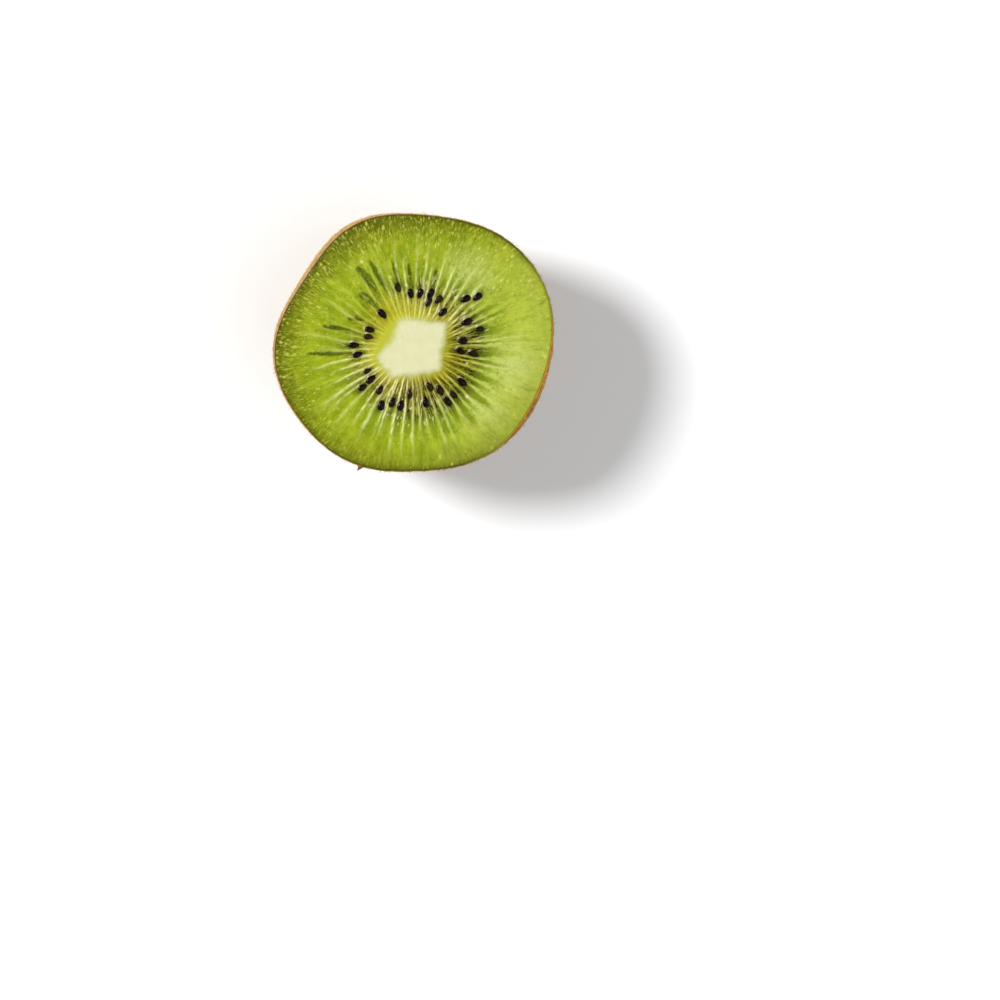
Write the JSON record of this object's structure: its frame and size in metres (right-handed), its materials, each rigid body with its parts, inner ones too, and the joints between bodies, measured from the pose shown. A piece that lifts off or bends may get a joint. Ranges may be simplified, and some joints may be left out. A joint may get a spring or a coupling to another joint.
{
  "type": "kiwi fruit half",
  "caption": "Half of a fresh kiwi fruit, cut across the middle: level green cut face with a pale core, rays and a ring of black seeds, in thin hairy brown skin, standing on its rounded end.",
  "frame": {"origin": "bottom centre of the bounding box, in the small flat spot that the fruit stands on", "axes": "+Z up out of the level cut face, along the fruit's core; +X and +Y lie along the cut face, +X to the right and +Y upwards as the picture shows the face"},
  "size_m": [0.058, 0.0528, 0.0323],
  "materials": {
    "flesh": "wet",
    "core": "moist",
    "skin": "thin, hairy, half matt",
    "seed": "glossy",
    "hair": "fine short hair"
  },
  "bodies": {
    "root": {"flesh": "flesh", "core": "core"}
  },
  "joints": []
}
